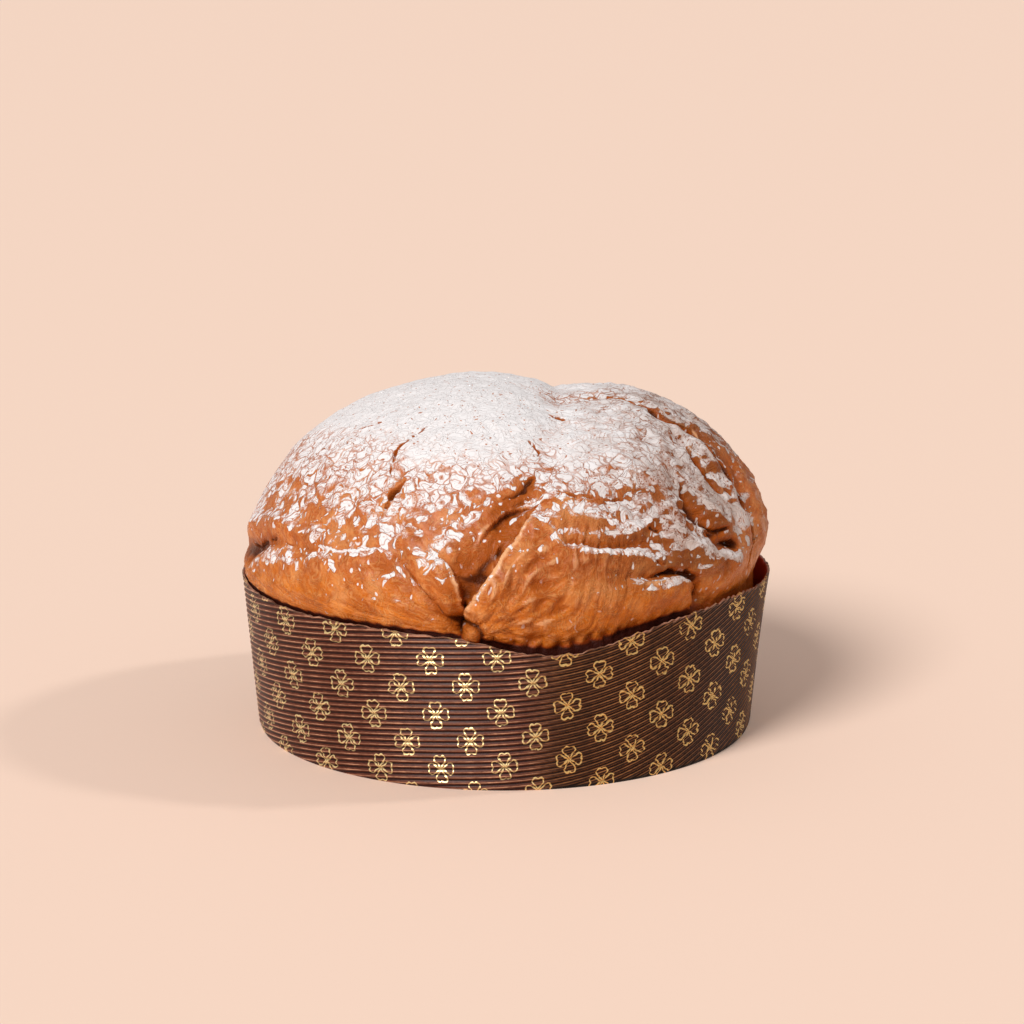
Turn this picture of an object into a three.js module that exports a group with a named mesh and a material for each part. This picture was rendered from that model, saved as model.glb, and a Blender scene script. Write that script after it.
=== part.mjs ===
// A low, round panettone standing in its ribbed paper baking case.
// Millimetres, +Z up. The origin is the centre of the case's underside, and the front faces -Y.
// A bearing is degrees round the cake from the front, positive towards +X. A climb is degrees up
// the dome: 90 at the crown, 0 at the widest ring, and RIM_CLIMB where the crust meets the rim.
import * as THREE from 'three';

// ---- driving dimensions ---------------------------------------------------------------------

const SEGMENTS = 120;       // facets round the cake, alike on loaf and case so that they nest
const GAP = 0.3;            // between the crumb and the paper
const RIM_CLIMB = -18;

const CASE = {
  baseRadius: 103.5,
  rimRadius: 109.3,
  height: 64.5,             // of the wall where the rim is neither pressed down nor lifted
  paper: 1.2,               // wall and floor, over the corrugation
};
// The rim is pressed down and out in front, lifted beside that, and flares away from the loaf
// on the right. A width is the half-width of the bell that fades the change out, in degrees.
const RIM_DIP = { bearing: 12, width: 17, drop: 8.5, lean: 1.5 };
const RIM_LIFT = { bearing: 55, width: 25, rise: 2 };
const RIM_FLARE = { bearing: 95, width: 28, lean: 1.4 };

const LOAF = {
  radius: 109.9,            // at the widest ring
  crown: 142.8,             // height of the plain dome
  waist: 78.5,              // height of the widest ring in front
  waistRise: 7,             // how much higher the ring runs on the right, and lower on the left
  roundness: 2.07,          // 2 is an ellipse, more is squarer
};
const FLANK = { climb: 23, width: 16, lean: 4.1 };    // the flanks are leaner than an ellipse
const CROWN_SWELLS = [      // ridges and one hollow that run front to back over the crown
  { x: -45, width: 30, height: 1.1 },
  { x: 26, width: 20, height: -3.7 },
  { x: 62, width: 24, height: 1.4 },
];
// Under the widest ring the crust rolls in and goes down behind the paper.
const ROLL = {
  depth: 24,                // height over which it turns in
  tuck: 2,                  // how far it turns in
  leaves: 1.5,              // how far below the rim it comes away from the paper
  front: { bearing: 15, width: 30, tuck: 2.5, leaves: 2 },
  right: { bearing: 95, width: 35, tuck: 5.5, leaves: 16 },
};

// Splits, folds and swells of the crust: strokes drawn over the dome through points of bearing,
// climb, half-width and depth. A negative depth stands proud.
const STROKES = {
  frontSplit: [
    [-8.8, -14, 3, 4], [-8.6, -3, 4.5, 4.6], [-7, 5, 7, 5.4], [-5.6, 11, 9, 4.6],
    [-1.5, 18, 8, 3], [1, 27, 7, 3.2], [7, 38, 6, 2.6], [13, 46, 5, 2],
    [15, 54, 5, 1.6], [21, 61, 5, 1.4], [33, 69, 6, 1.6],
  ],
  frontLip: [[-6.5, -6, 3, -0.4], [-1, 5, 4, -1.6], [3, 12, 5, -1.8], [6.4, 19, 5, -1.5], [11, 28, 5, -0.8]],
  leftLip: [[-10.5, -6, 2.5, -0.4], [-12, 4, 4, -1.2], [-14.5, 11, 4, -0.8]],
  leftSeam: [
    [-33, 58, 3, 0.8], [-35, 52, 3, 1], [-33, 44, 3, 1.2], [-28.3, 35, 4, 2.2],
    [-28, 26, 4, 1.4], [-24, 16.5, 4, 1.4], [-19.6, 7.5, 4, 1.6], [-15, -1.5, 4, 2.2],
    [-9.2, -13, 3, 3],
  ],
  leftFold: [
    [-112, -4, 5, 1], [-98, -1, 5, 1.2], [-86, 3, 5, 1.6], [-71, 8, 6, 4.2],
    [-60, 12.6, 5, 2.6], [-48, 12, 4, 1.6], [-34, 15, 4, 0.6],
  ],
  upperLeftCrack: [[-52, 59, 3, 0.6], [-60, 52, 3, 1], [-66, 43, 3, 0.9], [-72, 35, 3, 0.4]],
  rightSplit: [
    [70, 75, 5, 1.6], [85, 66, 4, 2], [75, 58, 4, 2.4], [73, 49, 4, 2.6],
    [76.5, 40, 4, 2.8], [77, 31, 5, 3.2], [73, 20, 5, 3], [71, 8, 4, 2.4],
    [69, -4, 4, 1.4],
  ],
  rightRidge: [[80, 52, 4, -1], [84, 40, 5, -1.8], [84, 28, 5, -2], [80, 14, 5, -1.6], [78, 2, 4, -1]],
  innerRidge: [[66, 46, 4, -1], [68, 36, 5, -1.6], [68, 24, 5, -1.4], [65, 12, 4, -1]],
  flapEdge: [[43.5, 35, 4, -1], [45, 28, 4, -1.8], [44, 20, 4, -2], [47.4, 11, 4, -1.6], [51, 2, 4, -0.8]],
  flapHollow: [[47.8, 26, 4, 1.6], [47.6, 20, 4, 4.2], [51, 11.5, 4, 3.4], [55, 4, 4, 2.6]],
  nodule: [[51.5, 18.5, 5, -2.6], [55, 17, 5, -2.2]],
  lowFold: [
    [20, 4, 4, 0.6], [26, 2.4, 4, 2], [31, 0, 4, 2.6], [38.5, -1.4, 4, 2.4],
    [43.5, -5, 4, 3], [45, -14, 4, 3],
  ],
  lowRoll: [[24, -6, 6, -1.4], [32, -8, 6, -1.8], [40, -11, 5, -1.2]],
  ripple: [[14, 13.8, 4, -0.6], [20, 12.4, 4, -1.3], [27, 10.2, 4, -1.3], [33, 6, 4, -0.7]],
  rippleValley: [[12, 19, 4, 0.8], [21, 17.4, 4, 1.4], [30, 15, 4, 1.6], [37, 16.6, 4, 2.4]],
  crossBand: [[8, 29, 4, 0.6], [18, 31, 4, 1], [28, 27.5, 4, 0.8]],
  backSplit: [
    [50, 76, 6, 1.6], [130, 74, 6, 2], [165, 58, 5, 2.6], [172, 42, 5, 3.2],
    [168, 26, 6, 3.8], [175, 12, 6, 4.4], [178, 0, 5, 4], [177, -12, 4, 3],
  ],
  backLip: [[166, 44, 5, -1], [160, 26, 6, -1.8], [166, 10, 6, -1.6], [170, -2, 4, -0.6]],
  backLeftFold: [
    [-112, -2, 5, 1], [-122, 8, 5, 2.6], [-134, 12, 5, 3], [-148, 8, 5, 2], [-160, 10, 4, 0.6],
  ],
  backRightFold: [[96, 8, 5, 1.6], [110, 2, 5, 3], [124, 4, 5, 2.4], [138, 0, 4, 1]],
};
const LUMPS = { height: 0.5, pitch: 11 };     // slow unevenness of the whole crust

// ---- measures shared by the two pieces ----------------------------------------------------------

const radians = THREE.MathUtils.degToRad;
const { lerp, smoothstep } = THREE.MathUtils;
const bell = (x, width) => Math.exp(-((x / width) ** 2));

function near(bearing, spot) {
  const turn = THREE.MathUtils.euclideanModulo(bearing - spot.bearing + 180, 360) - 180;
  return bell(turn, spot.width);
}

function onBearing(bearing, r, z) {
  const a = radians(bearing);
  return new THREE.Vector3(r * Math.sin(a), -r * Math.cos(a), z);
}

function rimHeight(bearing) {
  return CASE.height - RIM_DIP.drop * near(bearing, RIM_DIP) + RIM_LIFT.rise * near(bearing, RIM_LIFT);
}

function caseRadius(bearing, z) {
  const slope = (CASE.rimRadius - CASE.baseRadius) / CASE.height;
  const lean = RIM_DIP.lean * near(bearing, RIM_DIP) + RIM_FLARE.lean * near(bearing, RIM_FLARE);
  return CASE.baseRadius + slope * z + lean * (z / CASE.height) ** 3;
}

const crumbRadius = (bearing, z) => caseRadius(bearing, z) - CASE.paper - GAP;

// A closed solid of revolution whose points are then placed one by one: rows run from the axis
// under the piece to the axis above it, and place(bearing, row) gives each row's point.
function turned(rows, place) {
  const profile = rows.map((row, i) => new THREE.Vector2(row.axis ? 0 : 1, i));
  const geometry = new THREE.LatheGeometry(profile, SEGMENTS);
  const position = geometry.attributes.position;
  for (let i = 0; i < position.count; i++) {
    const facet = Math.floor(i / rows.length) % SEGMENTS;
    const bearing = (facet * 360) / SEGMENTS - 180;
    const point = place(bearing, rows[i % rows.length]);
    position.setXYZ(i, point.x, point.y, point.z);
  }
  geometry.computeVertexNormals();
  return geometry;
}

// ---- the paper case --------------------------------------------------------------------------

function casePoint(bearing, row) {
  if (row.axis) return onBearing(0, 0, row.z);
  const lowest = row.inside ? CASE.paper : 0;
  const z = lerp(lowest, rimHeight(bearing), row.up);
  const r = caseRadius(bearing, z) - (row.inside ? CASE.paper : 0);
  return onBearing(bearing, r, z);
}

function caseRows() {
  const heights = [0, 0.3, 0.6, 0.85, 1];
  return [
    { axis: true, z: 0 },
    ...heights.map((up) => ({ up })),
    ...heights.toReversed().map((up) => ({ up, inside: true })),
    { axis: true, z: CASE.paper },
  ];
}

// ---- the loaf ----------------------------------------------------------------------------------

const waistHeight = (bearing) => LOAF.waist + LOAF.waistRise * Math.sin(radians(bearing));

function leavingHeight(bearing) {
  const { front, right } = ROLL;
  const below = ROLL.leaves + front.leaves * near(bearing, front) + right.leaves * near(bearing, right);
  return rimHeight(bearing) - below;
}

// Radius of the roll between the paper and the widest ring.
function rollRadius(bearing, z) {
  const { front, right } = ROLL;
  const tuck = ROLL.tuck + front.tuck * near(bearing, front) + right.tuck * near(bearing, right);
  const waist = waistHeight(bearing);
  const leaves = leavingHeight(bearing);
  const down = Math.min(1, (waist - z) / Math.min(ROLL.depth, waist - leaves));
  const free = LOAF.radius - tuck * Math.sin(down * Math.PI / 2) ** 2;
  return lerp(crumbRadius(bearing, leaves), free, smoothstep(z, leaves, lerp(leaves, waist, 0.3)));
}

// The dome without splits or folds.
function plainPoint(bearing, climb) {
  const waist = waistHeight(bearing);
  if (climb < 0) {
    const z = lerp(waist, rimHeight(bearing), climb / RIM_CLIMB);
    return onBearing(bearing, rollRadius(bearing, z), z);
  }
  const power = 2 / LOAF.roundness;
  const lift = Math.sin(radians(climb));
  const r = LOAF.radius * Math.max(0, Math.cos(radians(climb))) ** power
    - FLANK.lean * bell(climb - FLANK.climb, FLANK.width);
  const point = onBearing(bearing, r, lerp(waist, LOAF.crown, lift ** power));
  for (const swell of CROWN_SWELLS) {
    point.z += swell.height * bell(point.x - swell.x, swell.width) * lift ** 2;
  }
  return point;
}

function outward(point, bearing) {
  const rise = Math.max(0, point.z - waistHeight(bearing));
  const dome = LOAF.crown - LOAF.waist;
  return new THREE.Vector3(
    point.x / LOAF.radius ** 2, point.y / LOAF.radius ** 2, rise / dome ** 2).normalize();
}

const strokes = Object.values(STROKES).map((points) => points.map(
  ([bearing, climb, width, depth]) => ({ at: plainPoint(bearing, climb), width, depth })));

// Depth that one stroke presses into the crust at a point.
function pressed(stroke, point) {
  let best = { distance: Infinity };
  for (let i = 1; i < stroke.length; i++) {
    const [from, to] = [stroke[i - 1], stroke[i]];
    const line = new THREE.Line3(from.at, to.at);
    const along = line.closestPointToPointParameter(point, true);
    const distance = line.at(along, new THREE.Vector3()).distanceTo(point);
    if (distance < best.distance) best = { distance, from, to, along };
  }
  const width = lerp(best.from.width, best.to.width, best.along);
  return lerp(best.from.depth, best.to.depth, best.along) * bell(best.distance, width);
}

function lumps(point) {
  const [x, y, z] = point.toArray().map((length) => length / LUMPS.pitch);
  return LUMPS.height * Math.sin(x + Math.sin(y)) * Math.sin(y + z) + LUMPS.height * Math.sin(z - x);
}

function crustPoint(bearing, climb) {
  const plain = plainPoint(bearing, climb);
  const relief = lumps(plain) - strokes.reduce((sum, stroke) => sum + pressed(stroke, plain), 0);
  return plain.addScaledVector(outward(plain, bearing), relief);
}

function loafPoint(bearing, row) {
  const underside = CASE.paper + GAP;
  if (row.axis === 'underside') return onBearing(0, 0, underside);
  if (row.axis === 'crown') return crustPoint(0, 90);
  if (row.climb === undefined) {
    const z = lerp(underside, leavingHeight(bearing), row.up);
    return onBearing(bearing, crumbRadius(bearing, z), z);
  }
  const point = crustPoint(bearing, row.climb);
  if (row.climb > RIM_CLIMB) return point;
  // Level with the rim the crust stays inside the paper.
  const r = Math.min(Math.hypot(point.x, point.y), crumbRadius(bearing, point.z));
  return onBearing(bearing, r, point.z + GAP);
}

function loafRows() {
  const domeSteps = 27;
  const skirt = [RIM_CLIMB, -13, -8.5, -4];
  const dome = Array.from({ length: domeSteps }, (_, i) => (i * 88) / (domeSteps - 1));
  return [
    { axis: 'underside' },
    ...[0, 0.35, 0.7, 1].map((up) => ({ up })),
    ...[...skirt, ...dome].map((climb) => ({ climb })),
    { axis: 'crown' },
  ];
}

// ---- the object --------------------------------------------------------------------------------

const crust = new THREE.MeshStandardMaterial({ color: 0xb5642a, roughness: 0.45, metalness: 0 });
const paper = new THREE.MeshStandardMaterial({ color: 0x4a2a24, roughness: 0.7, metalness: 0 });

const loaf = new THREE.Mesh(turned(loafRows(), loafPoint), crust);
loaf.name = 'loaf';
const paperCase = new THREE.Mesh(turned(caseRows(), casePoint), paper);
paperCase.name = 'paper_case';

const panettone = new THREE.Group();
panettone.add(loaf, paperCase);

export default panettone;
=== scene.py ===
"""A low round panettone, split and dusted with icing sugar, in its ribbed paper baking case."""
import math

import bmesh
import bpy
import numpy as np
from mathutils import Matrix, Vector, noise


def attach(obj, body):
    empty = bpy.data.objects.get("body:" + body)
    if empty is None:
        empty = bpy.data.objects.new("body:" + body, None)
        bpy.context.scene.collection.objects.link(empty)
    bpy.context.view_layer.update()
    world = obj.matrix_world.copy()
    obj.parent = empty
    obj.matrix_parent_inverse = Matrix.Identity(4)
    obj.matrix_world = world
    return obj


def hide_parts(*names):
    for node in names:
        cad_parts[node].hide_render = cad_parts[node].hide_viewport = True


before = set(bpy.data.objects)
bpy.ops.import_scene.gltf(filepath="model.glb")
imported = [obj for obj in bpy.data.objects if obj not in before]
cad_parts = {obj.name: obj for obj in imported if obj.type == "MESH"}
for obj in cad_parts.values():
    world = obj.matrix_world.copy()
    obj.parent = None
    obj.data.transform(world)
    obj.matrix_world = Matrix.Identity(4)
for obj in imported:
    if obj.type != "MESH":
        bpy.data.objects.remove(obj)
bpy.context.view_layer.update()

# ---- sizes, in millimetres and degrees ----
# A bearing is degrees round the cake from the front, positive towards +X. A climb is degrees up
# the dome: 90 at the crown, 0 at the widest ring, and RIM_CLIMB where the crust meets the rim.

MM = 0.001
GAP = 0.3
RIM_CLIMB = -18

CASE = dict(base_radius=103.5, rim_radius=109.3, height=64.5, paper=1.2)
RIM_DIP = dict(bearing=12, width=17, drop=8.5, lean=1.5)
RIM_LIFT = dict(bearing=55, width=25, rise=2)
RIM_FLARE = dict(bearing=95, width=28, lean=1.4)
RIM_SCALLOPS = dict(bearing=55, width=32, every=2.2, depth=1.3)
RIB = dict(pitch=2.26, depth=0.7, rows=8, per_turn=50)
RIB_SLOPES = [dict(bearing=-4, width=22, climb=-0.19), dict(bearing=45, width=28, climb=0.42)]
PRINT = dict(columns=24, rise=0.1255, row_pitch=22.6, row_height=31.5, lean=-0.86)
CLOVER = dict(tip=(0.55, 0), tip_radius=0.1, lobe=(4.1, 1.1), lobe_radius=1.35, wobble=1.3)
LINING = (0.995, 0.97, 0.93, 0.86, 0.75, 0.5, 0.25, 0.05)

LOAF = dict(radius=109.9, crown=142.8, waist=78.5, waist_rise=7, roundness=2.07)
FLANK = dict(climb=23, width=16, lean=4.1)
CROWN_SWELLS = [dict(x=-45, width=30, height=1.1), dict(x=26, width=20, height=-3.7),
                dict(x=62, width=24, height=1.4)]
ROLL = dict(depth=24, tuck=2, leaves=1.5)
ROLL_FRONT = dict(bearing=15, width=30, tuck=2.5, leaves=2)
ROLL_RIGHT = dict(bearing=95, width=35, tuck=5.5, leaves=16)
LUMPS = dict(height=0.5, pitch=11)
PUFFS = dict(bearing=14, width=22, every=3.4, height=2.4, over=2.4, reach=2.6)
NUB = dict(bearing=-6.7, height=63.8, radius=4.1, bulge=4.1, edge=1.08, edge_width=0.22)

# Noise over the crust: the size and height of its swells, the seed of its pattern and how far
# it is stretched.
WANDERS = [dict(size=9, by=1.1, seeds=(1, 2, 3)), dict(size=2.8, by=0.6, seeds=(4, 5, 6))]
BLISTERS = [(9, 0.35, 7), (4, 0.22, 8), (2, 0.08, 9)]
FOLDS = (3.8, 1, 53, (1, 2, 1))
SWEEPS = (10, 0.8, 55, (1, 1.5, 1))
WRINKLES = (3, 0.25, 54, (1, 1.5, 1))
CROWN_FOLDS = (5, 0.4, 56)
BANDS = (3, 1, 12, (3.2, 3.2, 1))
HILLS = [dict(swell=(11, 1.6, 13), level=0.4, by=1.3), dict(swell=(5.5, 1.4, 15), level=0.3, by=0.8)]
SWIRLS = [(17, 6, 51), (7, 2.2, 52)]
SUGAR_PATCHES = [(16, 3, 20), (7, 3, 21)]

# The grain of the dough, in millimetres round and up: the middle of the fan right of the split,
# the directions left of it and far right, and where round the cake the fan turns upright.
GRAIN = dict(per_degree=(1.92, 1.45), back=174, left=(0.74, 0.67), right=(-0.94, 0.34),
             fan=(-16, -26), spread=50, upright=(22, 62))
# How much painted shade darkens the crust for each millimetre that it lies deeper.
SHADING = dict(valley=0.16, cliff=0.13)

# The mesh of the crust: its grid, the rows out of sight, and how near the edges and cracks and
# how far round the front it is halved, once in each band.
ROUND, ROWS, HIDDEN_ROWS, UNDER_ROWS = 420, 108, 6, 2
FINE_BANDS = [dict(reach=3.8, front=40), dict(reach=1.8, front=0)]
FINE_FRONT = dict(bearing=18, climb=26)
CASE_COLUMNS = 380

# Strokes pressed into the crust, as points of bearing, climb, half-width and depth. A negative
# depth stands proud.
VALLEYS = dict(
    front_split=[(-8.8, -14, 3, 4), (-8.2, -3, 5, 3.4), (-7.2, 5, 6.5, 3), (-6.4, 11, 8, 2.2),
        (-1.5, 18, 7, 1.6), (1, 27, 6, 2.4), (7, 38, 6, 2), (13, 46, 5, 1.6), (15, 54, 5, 1.6),
        (21, 61, 5, 1.4), (33, 69, 6, 1.6)],
    front_lip=[(-6.5, -8, 3, -0.6), (-2.4, 2, 3.5, -1.6), (1.6, 9, 4, -1.8), (5, 16, 4, -1.6),
        (8, 24, 4, -1)],
    left_leaf=[(-11, -6, 2.5, -0.8), (-12, 3, 3, -1.4), (-13.5, 9, 3.5, -1.2), (-17, 14, 4, -0.6)],
    left_seam=[(-33, 58, 3, 0.6), (-35, 52, 3, 0.8), (-33, 44, 3, 1), (-28.3, 35, 4, 1.4),
        (-28, 26, 4, 1.2), (-24, 16.5, 4, 1.2), (-19.6, 7.5, 4, 1.4), (-15, -1.5, 4, 1.8),
        (-9.2, -13, 3, 2.4)],
    left_fold=[(-112, -4, 5, 1), (-98, -1, 5, 1.6), (-86, 2.4, 4, 3), (-75, 5, 4.5, 5.6), (-66, 10, 4, 3.8),
        (-56, 12.8, 3, 1.8), (-46, 12.2, 2.6, 1.4), (-34, 14.6, 2.4, 0.8), (-27, 15.6, 2, 0.3)],
    left_fold_brow=[(-80, 12, 4, -1.6), (-66, 17, 4, -1.6), (-54, 17, 3, -0.8)],
    shallow_fold=[(-43, 20.8, 1.8, 0.7), (-37, 18, 1.8, 0.9), (-30.4, 15.9, 1.6, 0.5)],
    left_tuck=[(-30, 8, 2, 0.8), (-26, 9.4, 2.2, 1.2), (-22.6, 12.4, 1.8, 0.7)],
    right_split=[(70, 75, 5, 1.4), (85, 66, 4, 1.8), (75, 58, 4, 2.2), (73, 49, 4, 2.2), (76.5, 40, 4, 2.2),
        (77, 31, 5, 2.4), (73, 20, 5, 2.2), (71, 8, 4, 1.8), (69, -4, 4, 1.2)],
    right_ridge=[(80, 52, 4, -1), (80, 40, 5, -1.8), (78, 28, 5, -2), (76, 14, 5, -1.8), (74, 2, 4, -1)],
    inner_ridge=[(68, 52, 3, -0.8), (67, 40, 3, -1.6), (66, 30, 3, -1.8), (66, 20, 3, -1.4),
        (65, 8, 3, -0.8)],
    inner_groove=[(63, 44, 2, 0.6), (61.5, 38, 2.4, 2), (60.8, 31, 2.6, 2.2), (61, 22, 2.2, 1.4)],
    bowl=[(47.6, 26, 3, 1.4), (47.8, 21, 4.4, 4.6), (48.6, 16.5, 4.6, 4.8), (50.5, 13, 3, 2.4)],
    lump=[(53.6, 21, 3.6, -1.6), (54.6, 15.4, 4, -2.8), (56.4, 12, 3, -1.8)],
    slit=[(48, 9.6, 1.8, 1.4), (52.4, 9.4, 2, 2.4), (56, 10.2, 1.8, 1.6)],
    lower_bowl=[(50.6, 7.4, 3, 2.2), (53, 5, 3.4, 3.4), (56.6, 3.2, 3.2, 4)],
    ledge=[(50, 1.6, 2.6, -1), (54, 1, 2.8, -1.8), (58, -3, 3, -1.6)],
    flap_edge=[(41, 36, 4, -1), (41.6, 28, 4, -2), (41, 20, 4, -2.4), (43, 12, 4, -2), (47, 5, 4, -1.2)],
    low_fold=[(18, 4, 4, 0.4), (26, 2.2, 3.4, 1.2), (31, 1, 3.4, 1.8), (38.5, -0.6, 3.2, 2.4),
        (43.5, -4.4, 3, 2.8), (45.4, -14, 3.4, 2.8)],
    low_roll=[(24, -6, 6, -1.4), (32, -7, 6, -1.8), (40, -9, 5, -1.6)],
    right_roll=[(50, -8, 5, -1.2), (60, -9, 5, -1)],
    ripple=[(12, 15.4, 2.4, -0.6), (17.4, 13.4, 2.6, -1.4), (23.6, 11.4, 2.6, -1.7), (29.4, 8.6, 2.6, -1.5),
        (33, 5, 2.4, -0.8)],
    ripple_shadow=[(14, 17.6, 2.6, 0.6), (20.8, 15.2, 2.6, 1.6), (27, 13.4, 3, 2.2), (32, 12.4, 3, 1.8),
        (36, 11, 3, 1.2)],
    hump=[(26, 18.8, 3, -0.8), (31, 17.4, 3, -1.6), (35.6, 19.6, 2.6, -1.4)],
    curl=[(33, 16, 2, 1.2), (35.6, 16.6, 2.2, 2.6), (36.4, 14.6, 2, 1.4)],
    second_shadow=[(12, 22, 2.4, 0.5), (18, 21, 2.6, 0.9), (25, 19.4, 2.6, 1)],
    upper_band=[(9, 25, 3, -0.6), (17.4, 24.6, 3, -0.9), (25, 23.4, 3, -0.9), (31, 22, 3, -0.6)],
    upper_shadow=[(10, 29.6, 2.6, 0.7), (18, 30.2, 2.6, 1), (26, 27.4, 2.6, 0.8)],
    low_wrinkle=[(4, -1, 2.6, 0.5), (12, -3.4, 2.6, 0.8), (20, -9, 2.6, 0.6)],
    low_wrinkle_2=[(2, 5, 2.4, 0.4), (9, 4, 2.4, 0.7), (17, 7, 2.4, 0.5)],
    under_roll=[(-4, -17.5, 2.5, 1), (4, -17, 3.5, 2.4), (14, -16.5, 3.5, 3), (26, -16.5, 3, 2.4),
        (36, -17, 2.2, 1.4), (46, -17.5, 2, 0.9), (60, -18, 2, 0.9), (75, -18, 2.4, 1)],
    back_split=[(50, 76, 6, 1.6), (130, 74, 6, 2), (165, 58, 5, 2.6), (172, 42, 5, 3.2), (168, 26, 6, 3.8),
        (175, 12, 6, 4.4), (178, 0, 5, 4), (177, -12, 4, 3)],
    back_lip=[(166, 44, 5, -1), (160, 26, 6, -1.8), (166, 10, 6, -1.6), (170, -2, 4, -0.6)],
    back_left_fold=[(-112, -2, 5, 1), (-122, 8, 5, 2.6), (-134, 12, 5, 3), (-148, 8, 5, 2),
        (-160, 10, 4, 0.6)],
    back_right_fold=[(96, 8, 5, 1.6), (110, 2, 5, 3), (124, 4, 5, 2.4), (138, 0, 4, 1)],
)

# Edges where the crust has torn: the crust to the left of the way the stroke runs drops by the
# depth and comes back over the half-width, and the edge itself hangs over a little.
CLIFFS = dict(
    front_edge=[(-8.9, -13, 4, 2.6), (-7.4, -5, 6, 4.6), (-5.8, 0, 9, 5.6), (-3.2, 5.2, 12, 5.4),
        (-1.2, 9.6, 13, 4.2), (0.4, 14.2, 11, 3), (2.6, 18.3, 9, 2.2), (4.2, 21.9, 8, 2.2),
        (6.8, 27.1, 7, 1.8), (9, 31.4, 6, 1.2), (10.8, 36, 5, 0.8)],
    leaf_edge=[(-15, 14, 3, 0.6), (-11.8, 10.6, 4, 1.8), (-10.4, 6.6, 5, 3), (-9.6, 0, 4, 3.2),
        (-8.7, -9, 3, 2)],
    hollow_edge=[(9, 31.6, 4, 1), (2.6, 31, 5, 2.4), (-1, 28.6, 6, 3), (-3.6, 24.4, 5, 2.4),
        (-5, 20, 4, 1)],
    bowl_edge=[(47.4, 28, 3, 1), (46, 25, 4, 2.4), (45.3, 21.5, 5, 3.2), (45.2, 17.6, 5, 3.4),
        (46.6, 14, 4, 2.6), (49, 11, 4, 1.6), (52, 10, 3, 0.8)],
    lower_bowl_edge=[(49, 8.6, 3, 0.8), (50.2, 5.6, 4, 1.8), (50.8, 2.6, 4, 1.6), (52, 0, 3, 0.8)],
    far_lip=[(67.4, -9, 3, 1), (69, -2, 4, 1.4), (69.9, 4, 4, 1.8), (70.4, 11, 5, 2.2), (71, 18, 5, 3),
        (72.2, 24, 5, 3.8), (72.8, 29, 5, 3.6), (73.6, 35, 5, 2.8), (75.6, 41.5, 4, 2.6),
        (76.4, 45, 4, 2.4), (75, 49, 4, 2.2), (76, 55, 4, 1.8), (79, 60, 3, 1.6), (84.5, 67, 3, 1)],
    inner_lip=[(62, 18, 3, 0.6), (62.4, 24, 3, 1.4), (62.2, 31, 4, 1.8), (63, 38, 3, 1.6),
        (65.4, 45, 3, 1.2), (70, 51, 2, 0.6)],
    crevice_edge=[(26, 1, 2.4, 0.6), (31, -0.6, 3, 1.6), (35.5, -1, 3, 2.4), (39, -2, 3, 2.6),
        (43, -5, 2.6, 1.8), (45, -9, 2, 1)],
    ripple_edge=[(14, 15.6, 2.4, 0.5), (20, 13.6, 2.6, 1.2), (27, 11.4, 2.6, 1.4), (32, 8, 2.4, 0.8)],
    back_edge=[(177, -11, 6, 2), (176, 2, 9, 3.4), (172, 14, 11, 3.8), (166, 26, 10, 3), (170, 40, 8, 2.2),
        (163, 56, 6, 1.4)],
)

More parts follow.
